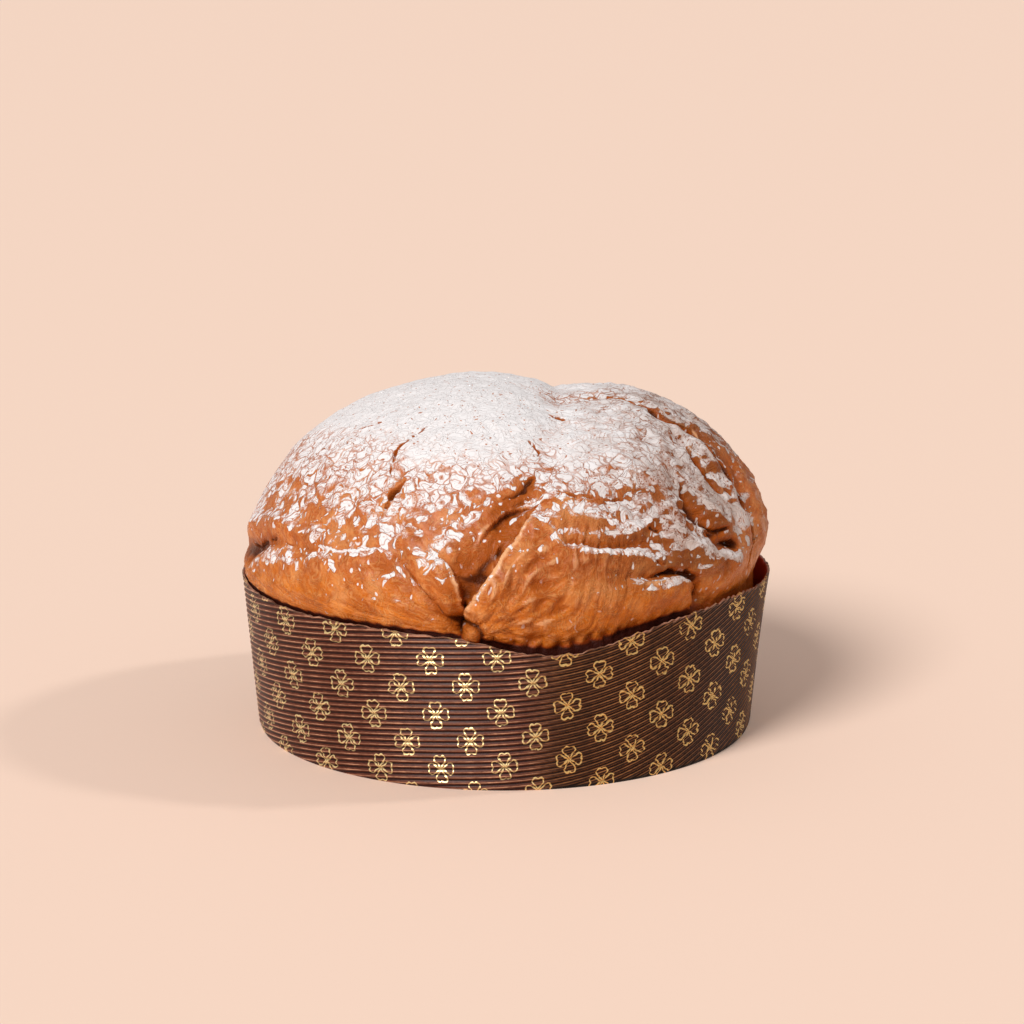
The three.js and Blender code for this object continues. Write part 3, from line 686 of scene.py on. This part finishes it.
def torn_rim(bearing):
    """Height of the torn edge of the paper: the rim with scallops and small nicks."""
    ring = on_bearing(bearing, CASE["rim_radius"], 0 * bearing)
    swing = bearing + 1.4 * noise_field(ring, 12, 33)
    scalloped = 0.5 * ease(noise_field(ring, 14, 34), -0.3, 0.2) + near(bearing, RIM_SCALLOPS)
    tooth = RIM_SCALLOPS["depth"] * np.mod(swing / RIM_SCALLOPS["every"], 1) * scalloped
    tear = 0.5 * noise_field(ring, 4.2, 31) + 0.4 * noise_field(ring, 2, 32)
    return rim_height(bearing) + tear - 0.8 + tooth


def wall_radius(bearing, z, turns):
    """The ribbed outside of the wall; turns counts the ribs up from the bottom."""
    rib = 0.5 - 0.5 * np.cos(2 * math.pi * turns)
    foot = 1 - ease(z, -1.5, 1.6)
    return case_radius(bearing, z) - RIB["depth"] * (1 - rib ** 0.75) * ease(z, 0, 1.6) - 0.9 * foot


def make_case():
    bm = bmesh.new()
    layers = [bm.loops.layers.uv.new(name) for name in ("wrap", "ribs")]
    columns = np.linspace(-180, 180, CASE_COLUMNS + 1)
    climbed, tops = rib_climb(columns), torn_rim(columns)
    tops[-1] = tops[0]
    rows = math.ceil((CASE["height"] + 5) / RIB["pitch"] * RIB["rows"]) + RIB["per_turn"] * RIB["rows"]
    turns = np.arange(rows + 1)[:, None] / RIB["rows"] - RIB["per_turn"]
    z = np.clip((turns + climbed) * RIB["pitch"], 0, tops)
    lay_sheet(bm, columns, wall_radius(columns, z, turns), z, turns, layers, keep_level=False)
    add_lining(bm, columns, tops, climbed, layers)
    bmesh.ops.remove_doubles(bm, verts=bm.verts, dist=2e-6)
    bmesh.ops.dissolve_degenerate(bm, dist=1e-6, edges=bm.edges)
    bmesh.ops.recalc_face_normals(bm, faces=bm.faces)
    mesh = mesh_of(bm, "baking_case")
    mesh.shade_smooth()
    spots = points_of(mesh) / MM
    bearing, z = bearing_of(spots), spots[:, 2]
    behind = case_radius(bearing, z) - np.hypot(spots[:, 0], spots[:, 1])
    paint(mesh, "outside", 1 - ease(behind, 0.9, 1.1) * (z > 1.7))
    # Where the painted highlight along the torn edge lies.
    paint(mesh, "torn_edge_highlight", ease(z - torn_rim(bearing), -0.7, -0.1))
    return put("baking_case", mesh)


def lay_sheet(bm, columns, r, z, turns, layers, keep_level=True):
    """Adds a grid at these radii and heights. The ribs' level faces, which lie past the bottom, go."""
    bearing, turns = np.broadcast_to(columns, z.shape), np.broadcast_to(turns, z.shape)
    places = on_bearing(bearing, r, z) * MM
    rows, across = z.shape
    made = bmesh.ops.create_grid(bm, x_segments=across - 1, y_segments=rows - 1, size=1)
    where = {}
    for vert in made["verts"]:
        i = round((vert.co.x + 1) / 2 * (across - 1))
        j = round((vert.co.y + 1) / 2 * (rows - 1))
        where[vert] = (j, i)
        vert.co = places[j, i]
    idle = []
    for face in {face for vert in made["verts"] for face in vert.link_faces}:
        heights = {round(z[where[vert]], 6) for vert in face.verts}
        if len(heights) == 1 and not keep_level:
            idle.append(face)
            continue
        for loop in face.loops:
            spot = where[loop.vert]
            loop[layers[0]].uv = (bearing[spot] / 360 + 0.5, z[spot] / 100)
            loop[layers[1]].uv = (turns[spot] / 100, 0)
    bmesh.ops.delete(bm, geom=idle, context="FACES")


def add_lining(bm, columns, tops, climbed, layers):
    """The rim's edge, the smooth inside of the wall, the floor and the underside."""
    paper, low = CASE["paper"], 0 * columns
    outer = lambda z: wall_radius(columns, z, z / RIB["pitch"] - climbed)
    inner = lambda z: case_radius(columns, z) - paper
    lines = [(outer(tops), tops), (case_radius(columns, tops) - 0.55 * paper, tops + 0.12),
             (case_radius(columns, tops) - 0.9 * paper, tops - 0.1)]
    lines += [(inner(tops * part), tops * part) for part in LINING]
    lines += [(inner(low + paper) - 0.8, low + paper), (low + 0.02, low + paper)]
    under = [(outer(low), low), (outer(low) - 1.5, low), (low + 0.02, low)]
    for group in (lines, under):
        r, z = np.stack(group, axis=1)
        lay_sheet(bm, columns, r, z, 0 * z, layers)


# ---- finishes ----

def tint(red, green, blue):
    """A colour as seen on a screen, 0 to 255, made linear."""
    def linear(value):
        value /= 255
        return value / 12.92 if value <= 0.04045 else ((value + 0.055) / 1.055) ** 2.4
    return (linear(red), linear(green), linear(blue), 1)


class Flow:
    """One socket of a finish; arithmetic on it adds Math nodes."""

    def __init__(self, finish, socket):
        self.finish, self.socket = finish, socket

    def math(self, operation, *others):
        return self.finish.add("ShaderNodeMath", {"operation": operation}, [self, *others])

    def __add__(self, other):
        return self.math("ADD", other)

    def __sub__(self, other):
        return self.math("SUBTRACT", other)

    def __mul__(self, other):
        return self.math("MULTIPLY", other)

    def __truediv__(self, other):
        return self.math("DIVIDE", other)

    def __rsub__(self, other):
        return self.finish.add("ShaderNodeMath", {"operation": "SUBTRACT"}, [other, self])

    __radd__ = __add__
    __rmul__ = __mul__

    def least(self, other):
        return self.math("MINIMUM", other)

    def most(self, other):
        return self.math("MAXIMUM", other)

    def size(self):
        return self.math("ABSOLUTE")

    def part(self):
        """What is left over a whole number."""
        return self - self.math("FLOOR")

    def ease(self, low, high):
        """0 below low and 1 above high, smoothly."""
        return self.finish.add("ShaderNodeMapRange", {"interpolation_type": "SMOOTHSTEP"},
                               {"Value": self, "From Min": low, "From Max": high})


class Finish:
    """A material whose nodes are added by one method."""

    def __init__(self, name):
        self.material = bpy.data.materials.new(name)
        self.material.use_nodes = True
        self.tree = self.material.node_tree
        self.shader = self.tree.nodes["Principled BSDF"]

    def add(self, kind, settings=None, values=(), output=0):
        node = self.tree.nodes.new(kind)
        for name, value in (settings or {}).items():
            setattr(node, name, value)
        pairs = values.items() if isinstance(values, dict) else enumerate(values)
        for key, value in pairs:
            self.join(value, node.inputs[key])
        return Flow(self, node.outputs[output])

    def join(self, value, socket):
        if isinstance(value, Flow):
            self.tree.links.new(value.socket, socket)
        else:
            socket.default_value = value

    def set(self, **values):
        for name, value in values.items():
            self.join(value, self.shader.inputs[name.replace("_", " ").title()])

    def place(self):
        """Object coordinates in millimetres."""
        return self.scaled(self.add("ShaderNodeTexCoord", output="Object"), 1000)

    def scaled(self, vector, factor):
        return self.add("ShaderNodeVectorMath", {"operation": "SCALE"}, {"Vector": vector, "Scale": factor})

    def stretched(self, vector, *factors):
        return self.add("ShaderNodeVectorMath", {"operation": "MULTIPLY"}, [vector, factors])

    def moved(self, vector, other):
        return self.add("ShaderNodeVectorMath", {"operation": "ADD"}, [vector, other])

    def leaning(self, vector, rotation, scale):
        values = {"Vector": vector, "Rotation": rotation, "Scale": scale}
        return self.add("ShaderNodeMapping", {}, values)

    def axis(self, vector, number):
        return self.add("ShaderNodeSeparateXYZ", {}, [vector], output=number)

    def clouds(self, vector, size, detail=2, rough=0.5, output="Fac"):
        return self.add("ShaderNodeTexNoise", {"noise_dimensions": "3D"},
                        {"Vector": vector, "Scale": 1 / size, "Detail": detail, "Roughness": rough}, output)

    def cells(self, vector, size, feature="F1", output="Distance"):
        return self.add("ShaderNodeTexVoronoi", {"voronoi_dimensions": "3D", "feature": feature},
                        {"Vector": vector, "Scale": 1 / size}, output)

    def cell_edges(self, vector, size):
        return self.cells(vector, size, "DISTANCE_TO_EDGE")

    def dots(self, vector, size, inner, outer):
        """1 in the middle of each cell, out to the inner radius."""
        return 1 - self.cells(vector, size).ease(inner, outer)

    def painted(self, name, output="Fac"):
        return self.add("ShaderNodeAttribute", {"attribute_name": name}, output=output)

    def mix(self, factor, first, second):
        node = self.tree.nodes.new("ShaderNodeMix")
        node.data_type = "RGBA"
        for value, socket in ((factor, node.inputs[0]), (first, node.inputs[6]), (second, node.inputs[7])):
            self.join(value, socket)
        return Flow(self, node.outputs[2])

    def layered(self, ground, *coats):
        """Each coat is its strength and its colour, and lies over those before it."""
        for strength, colour in coats:
            ground = self.mix(strength, ground, tint(*colour))
        return ground

    def bump(self, height, depth):
        """A normal from a height of 0 to 1 that stands for this depth in millimetres."""
        return self.add("ShaderNodeBump", {}, {"Distance": depth * MM, "Height": height})


def crust_finish():
    f = Finish("sugared crust")
    place = f.place()
    dusting, painted_shading, rim_shade_and_bake = f.painted("dusting"), f.painted("painted_shading"), f.painted("rim_shade_and_bake")
    grain = f.painted("grain", "Vector")
    aside, height = f.axis(place, 0), f.axis(place, 2)
    right = aside.ease(15, 100)

    # The sugar breaks up into scales with bare outlines, then into drops over a thin veil.
    warp = f.scaled(f.moved(f.clouds(place, 7, 1, output="Color"), (-0.5, -0.5, -0.5)), 8)
    bent = f.moved(place, warp)
    patches = f.clouds(place, 9, 2) - 0.5
    edge = f.cell_edges(bent, 5.5)
    slim = f.stretched(bent, 1, 1, 0.55)
    scales = scaled_sugar(f, bent, 5.5, edge)
    drops = scaled_sugar(f, slim, 2.6, f.cell_edges(slim, 2.6))
    cover = dusting * 1.3 + patches * 1.3
    sugar = scales(cover + 0.1, 0.22).most(drops(cover, 0.3))
    curls = (f.clouds(bent, 3.6, 1) - 0.5).size()
    fine = (f.clouds(f.moved(bent, (30, 30, 30)), 2.2, 1) - 0.5).size()

    stipple = f.cells(place, 0.9)
    grit = 1 - stipple.ease(0.25, 0.42)
    veil = (cover + (f.clouds(bent, 4.5, 1) - 0.5) * 2.4 + right * 0.35).ease(0.15, 0.55)
    sugar = sugar.most(veil * (right * 0.2 + 0.65) * (1 - grit * 0.85))
    outlines = (1 - edge.ease(0.02, 0.08)) * (1.7 - cover).ease(0, 0.9)
    curled = (1 - curls.ease(0.012, 0.03)) * (1.9 - cover).ease(0, 1) * 0.8
    outlines = outlines.most(curled) * (1 - right * 0.8)

    # Pores, short strokes and stray drops.
    strokes_up = f.dots(f.leaning(bent, (0.4, 0.8, 0.3), (1, 1, 0.25)), 3.2, 0.09, 0.14)
    slants = f.dots(f.leaning(bent, (0.2, -0.7, 0), (1, 1, 0.3)), 3.6, 0.09, 0.14)
    marked = (patches + right * 0.3 + (1.6 - cover).ease(0, 1.2) * 0.2).ease(-0.18, 0)
    marks = (strokes_up.most(slants) * marked).most(f.dots(place, 3.9, 0.09, 0.15))
    layer = sugar
    sugar = sugar * (1 - marks * 0.9) * (1 - outlines * 0.75)
    stray = f.dots(slim, 3.8, 0.13, 0.19) * (1 - rim_shade_and_bake.ease(0, 0.1))
    sugar = sugar.most(stray * (cover + 2.1 + right * 0.4).ease(0, 0.8) * 0.9)

    # The baked crust under it.
    swept = f.moved(grain, f.scaled(warp, 0.9))
    streaks = f.clouds(f.stretched(swept, 1, 0.8, 1), 1.9, 2)
    folds = f.clouds(f.stretched(swept, 1, 0.65, 1), 5, 2)
    mottle = f.clouds(bent, 8, 3, 0.55)
    blotch = f.clouds(f.moved(place, (60, 60, 60)), 13, 2)
    low = 1 - (height + (mottle - 0.5) * 26).ease(66, 92)
    pebbles = f.cell_edges(bent, 3.6)
    puffy = (1 - right) * (mottle - 0.5).ease(-0.1, 0.1)
    rings = (f.cells(bent, 9) * 46).math("SINE")
    swirls = rings.ease(0.3, 0.9) * (f.clouds(place, 4, 2) - 0.5).ease(-0.06, 0.06)
    # Painted shade over the right side of the dome, less on its far edge.
    shade = aside.ease(8, 75) * height.ease(72, 88) * (1 - aside.ease(84, 98) * 0.7)
    haze = (dusting + 0.3).ease(0, 0.9) * 0.3 * (1 - painted_shading) * (1 - shade * 0.6)
    crust = f.layered(
        f.mix(low, tint(190, 94, 32), tint(210, 111, 6)),
        (pebbles.ease(0.04, 0.25) * (puffy * 0.4 + 0.05), (232, 156, 102)),
        ((1 - folds.ease(0.42, 0.58)) * 0.45, (160, 72, 10)),
        # Light streaks: partly the crust's own tone, partly painted highlight.
        (streaks.ease(0.5, 0.64) * 0.22, (244, 176, 104)),
        ((1 - streaks.ease(0.38, 0.48)) * 0.15, (136, 62, 10)),
        (swirls * 0.3, (248, 184, 116)),
        ((1 - grit) * 0.12, (240, 170, 110)),
        (marks * cover.ease(0.2, 0.8) * 0.6, (150, 76, 44)),
        (outlines * cover.ease(0, 0.5) * 0.55, (172, 84, 36)),
        (mottle.ease(0.5, 0.72) * 0.45, (136, 56, 6)),
        (blotch.ease(0.48, 0.66) * 0.25, (150, 64, 10)),
        # Light blotches: partly the crust's own tone, partly painted highlight.
        ((1 - blotch.ease(0.34, 0.48)) * 0.3, (242, 170, 104)),
        # Deeper, darker gold on the lower crust towards the right: partly its own colour, partly painted
        # shade.
        (aside.ease(-15, 60) * low * 0.42, (168, 84, 0)),
        (shade * 0.75, (112, 56, 16)),
        # Painted shade in grooves, cracks and hollows, and a painted highlight on crests and torn edges.
        (painted_shading.ease(0.05, 0.6) * 0.8, (160, 76, 12)),
        (painted_shading.ease(0.7, 1.6), (80, 32, 4)),
        ((0 - painted_shading).ease(0.1, 0.8) * 0.8, (250, 192, 140)),
        (haze, (214, 136, 90)),
        # Painted shade and darker baked crust just over the rim.
        (rim_shade_and_bake.ease(0, 0.6) * 0.8, (140, 50, 2)),
        (rim_shade_and_bake.ease(0.4, 0.95), (50, 10, 0)))
    white = f.layered(
        tint(243, 239, 238),
        ((1 - fine.ease(0.01, 0.035)) * 0.4, (208, 194, 190)),
        # Greyer sugar towards the right is painted shade; the grey-brown patches that deepen to the right
        # are partly a thin film of sugar and partly painted shade.
        (right * (1.5 - dusting).ease(0, 1) * 0.7, (196, 180, 172)),
        (aside.ease(0, 80) * blotch.ease(0.42, 0.62) * 0.6, (184, 162, 150)))

    bare = streaks * 0.2 + folds * 0.45 + swirls * 0.15 + f.clouds(place, 1.2, 3) * 0.3 + stipple * 0.08
    engraved = curls.ease(0, 0.06) * 0.2 + fine.ease(0, 0.06) * 0.1
    powder = layer * (engraved * 0.9 + 0.12 - right * 0.04) + (1 - layer) * engraved * 0.45
    f.set(base_color=f.mix(sugar, crust, white),
          roughness=sugar * 0.5 + 0.36 + rim_shade_and_bake * 0.3 + (mottle - 0.5) * 0.2,
          coat_weight=(1 - sugar) * (1 - rim_shade_and_bake) * ((0 - painted_shading).ease(0, 0.6) * 0.3 + 0.08),
          coat_roughness=0.25,
          normal=f.bump(bare * (1 - layer) + powder, 1))
    f.shader.inputs["Specular IOR Level"].default_value = 0.12
    return f.material


def scaled_sugar(f, where, size, edge):
    """Scales of sugar that shrink as the cover thins, as a function of cover and line width."""
    luck = f.axis(f.cells(where, size, output="Color"), 0)
    return lambda cover, width: (edge - (1.1 - cover - (luck - 0.5) * 0.9) * width).ease(0, 0.05)


def case_finish():
    f = Finish("printed baking paper")
    place = f.place()
    wrap = f.add("ShaderNodeUVMap", {"uv_map": "wrap"})
    turn, up = f.axis(wrap, 0) * 360 - 180, f.axis(wrap, 1) * 100
    phase = f.axis(f.add("ShaderNodeUVMap", {"uv_map": "ribs"}), 0) * 100
    outside, torn_edge_highlight = f.painted("outside"), f.painted("torn_edge_highlight")

    # The print wanders a little round the case.
    drift = ((turn + 3) * (3 * math.pi / 180)).math("SINE") * 1.7 - 0.6
    sag = ((turn - 12) * (2 * math.pi / 180)).math("COSINE") * 1.1 + 0.3
    row = (up - turn * PRINT["rise"] - sag - PRINT["row_height"]) / PRINT["row_pitch"]
    column = (turn + drift - row * PRINT["lean"] + 1) / (360 / PRINT["columns"])
    shakes = [(f.clouds(f.moved(place, (by, by, by)), 2.2, 1) - 0.5) * CLOVER["wobble"] for by in (0, 40)]
    line = clover(f, column, row, shakes).least(clover(f, column + 0.5, row + 0.5, shakes))
    wear = f.clouds(place, 0.8, 2)

    # The ribs, with a painted highlight on their crests and painted shade in their valleys: the paper is
    # painted lit on the left and in shade right of the front, where the crest lines are thinner and closer.
    front_right = turn.ease(2, 14) * (1 - turn.ease(80, 110))
    crest = 1 - (phase.part() - 0.5).size() * 2
    crest = crest + (f.clouds(f.stretched(place, 1, 1, 3), 2, 2) - 0.5) * 0.3
    broad, crest_highlight = crest.ease(0.12, 0.5), crest.ease(0.76, 0.94)
    fibre = f.clouds(f.stretched(place, 1, 1, 3), 2.5, 3)
    mottled = fibre.ease(0.35, 0.7)
    sheen = f.clouds(f.stretched(place, 1, 1, 0.15), 9, 2).ease(0.35, 0.65)
    # Left of the front, lit: dark painted shade in the valleys and a painted highlight on each crest,
    # varied by the painted sheen.
    left = f.mix(broad, tint(36, 14, 9), f.mix(mottled, tint(84, 40, 25), tint(104, 55, 38)))
    left = f.mix(crest_highlight * (sheen * 0.6 + 0.3), left, tint(214, 158, 124))
    # Right of the front, in shade: thin painted highlights on the crests.
    half = ((phase * 2).part() - 0.5).size() * 2
    right_crest_highlight = (1 - half + (fibre - 0.5) * 0.4).ease(0.64, 0.92) * (sheen * 0.35 + 0.5)
    right = f.mix(right_crest_highlight, f.mix(mottled, tint(36, 15, 6), tint(60, 28, 13)), tint(162, 106, 60))
    # Painted contact shadow along the foot of the paper, right of the front.
    foot = 1 - f.axis(place, 2).ease(0.7, 1.7)
    paper = f.mix(front_right, left, f.mix(foot, right, tint(16, 8, 5)))
    # Painted highlight along the torn edge, varied by the painted sheen.
    paper = f.mix(torn_edge_highlight * (sheen * 0.5 + 0.2), paper, tint(214, 160, 132))
    paper = f.mix(outside, tint(176, 60, 28), paper)

    gold = (1 - (line + (wear - 0.5) * 0.2).ease(0.2, 0.36)) * outside
    # Painted shade hides the print in the rib valleys left of the front.
    gold = gold * (1 - (1 - broad) * (1 - front_right) * 0.6)
    # The foil painted lit on the left and in shade on the right.
    foil = f.mix(front_right, tint(240, 212, 152), tint(228, 186, 116))
    f.set(base_color=f.mix(gold, paper, foil),
          metallic=gold * 0.5,
          roughness=0.42 - gold * 0.1 + (fibre - 0.5) * 0.25,
          normal=f.bump(f.clouds(place, 0.5, 2), 0.06))
    f.shader.inputs["Specular IOR Level"].default_value = 0.2
    return f.material


def clover(f, column, row, shakes):
    """Distance in millimetres from the outline of the nearest four-leaved clover of one lattice."""
    pitch = 2 * math.pi * CASE["rim_radius"] * 0.97 / PRINT["columns"]
    x = ((column.part() - 0.5) * pitch + shakes[0]).size()
    y = ((row.part() - 0.5) * PRINT["row_pitch"] + shakes[1]).size()
    out, aside = x.most(y), x.least(y)
    # Half a heart: a capsule that widens from the middle of the clover to one lobe.
    tip, small, large = CLOVER["tip"], CLOVER["tip_radius"], CLOVER["lobe_radius"]
    span = Vector(CLOVER["lobe"]) - Vector(tip)
    length = span.length
    along_x, along_y = span / length
    along = (out - tip[0]) * along_x + (aside - tip[1]) * along_y
    away = (aside - tip[1]) * along_x - (out - tip[0]) * along_y
    lean = (small - large) / length
    run = math.sqrt(1 - lean * lean)
    part = along * run - away * lean
    side = away * run + along * lean - small
    end = (away * away + (along - length) * (along - length)).math("SQRT") - large
    start = (away * away + along * along).math("SQRT") - small
    past_end, past_start = (part - run * length).ease(-0.01, 0.01), part.ease(-0.01, 0.01)
    body = side * (1 - past_end) + end * past_end
    return (body * past_start + start * (1 - past_start)).size()


# ---- the set ----

FLOOR_HALF = 12
KEY_LIGHT = dict(towards=(-0.5, -0.72, 0.75), strength=2.5, spread=22, colour=(1, 0.995, 0.99))
SIDE_LIGHT = dict(towards=(1, 0.15, 0.9), strength=0.55, spread=5, colour=(1, 0.99, 0.97))
ROOM = dict(colour=(246, 240, 240), strength=0.34)
CAMERA = dict(place=(0.00314, -1.2165, 0.3746), down=13.29, lens=105.5)


def make_floor():
    bm = bmesh.new()
    bmesh.ops.create_grid(bm, x_segments=2, y_segments=2, size=FLOOR_HALF)
    floor = put("floor", mesh_of(bm, "floor"))
    f = Finish("pale floor")
    f.set(base_color=tint(255, 224, 203), roughness=0.8)
    floor.data.materials.append(f.material)


def add_light(name, towards, strength, spread, colour):
    """A soft light far off in one direction."""
    data = bpy.data.lights.new(name, "SUN")
    data.energy, data.angle, data.color = strength, math.radians(spread), colour
    light = put(name, data)
    light.location = towards
    light.rotation_euler = Vector(towards).to_track_quat("Z", "Y").to_euler()


def make_set():
    make_floor()
    add_light("key", **KEY_LIGHT)
    add_light("side", **SIDE_LIGHT)
    world = bpy.data.worlds.new("studio")
    world.use_nodes = True
    background = world.node_tree.nodes["Background"].inputs
    background["Color"].default_value = tint(*ROOM["colour"])
    background["Strength"].default_value = ROOM["strength"]
    bpy.context.scene.world = world
    bpy.context.scene.view_settings.view_transform = "Standard"


def make_camera():
    data = bpy.data.cameras.new("camera")
    data.lens = CAMERA["lens"]
    camera = put("camera", data)
    camera.location = CAMERA["place"]
    camera.rotation_euler = (math.radians(90 - CAMERA["down"]), 0, 0)
    bpy.context.scene.camera = camera


# ---- the part ----

make_camera()
make_set()

crust = make_crust()
crust.data.materials.append(crust_finish())
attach(crust, "root")
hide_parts("loaf")

case = make_case()
case.data.materials.append(case_finish())
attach(case, "root")
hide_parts("paper_case")
